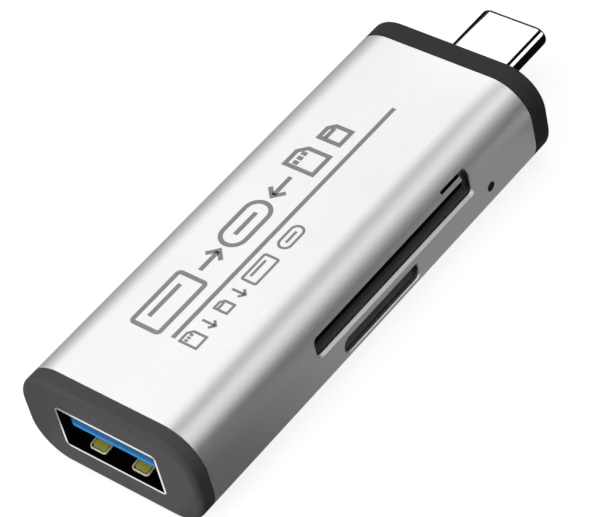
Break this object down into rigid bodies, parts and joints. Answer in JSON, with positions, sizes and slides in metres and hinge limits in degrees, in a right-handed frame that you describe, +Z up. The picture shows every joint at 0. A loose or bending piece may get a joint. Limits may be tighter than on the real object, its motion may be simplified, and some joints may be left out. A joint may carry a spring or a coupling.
{
  "type": "usb hub card reader",
  "caption": "Flat silver tube with dark end caps, a wide data port in one end, a fixed slim plug in the other, and a large and a small memory card slot on one side.",
  "frame": {"origin": "under the reader, at the middle of its overall length and width, on the plane it lies on", "axes": "+X along the tube toward the plug, +Z up through the broad top face, card slots on the -Y side"},
  "size_m": [0.0674, 0.0224, 0.0116],
  "materials": {
    "satin_aluminium": "fine blasted and anodised silver",
    "cap_plastic": "satin dark grey",
    "smoked_lens": "smoked",
    "board_laminate": "black solder mask",
    "connector_steel": "polished sheet",
    "blue_plastic": "moulded",
    "black_plastic": "moulded",
    "gold_plate": "gold plated",
    "package_black": "moulded",
    "ceramic_tan": "fired",
    "print_ink": "thin grey print",
    "lamp_resin": "clear resin"
  },
  "bodies": {
    "root": {"shell_tube": "satin_aluminium", "front_end_cap": "cap_plastic", "rear_end_cap": "cap_plastic", "light_window": "smoked_lens", "main_board": "board_laminate", "port_shell": "connector_steel", "port_tongue": "blue_plastic", "port_contacts": "gold_plate", "port_pads": "gold_plate", "grip_springs": "gold_plate", "plug_shell": "connector_steel", "plug_core": "black_plastic", "plug_upper_contacts": "gold_plate", "plug_lower_contacts": "gold_plate", "plug_latches": "connector_steel", "card_socket_base": "black_plastic", "card_socket_cover": "connector_steel", "card_socket_contacts": "gold_plate", "small_socket_base": "black_plastic", "small_socket_cover": "connector_steel", "small_socket_contacts": "gold_plate", "reader_chip": "package_black", "power_switch": "package_black", "clock_crystal": "connector_steel", "activity_light": "lamp_resin", "capacitors": "ceramic_tan", "resistors": "package_black"}
  },
  "joints": []
}
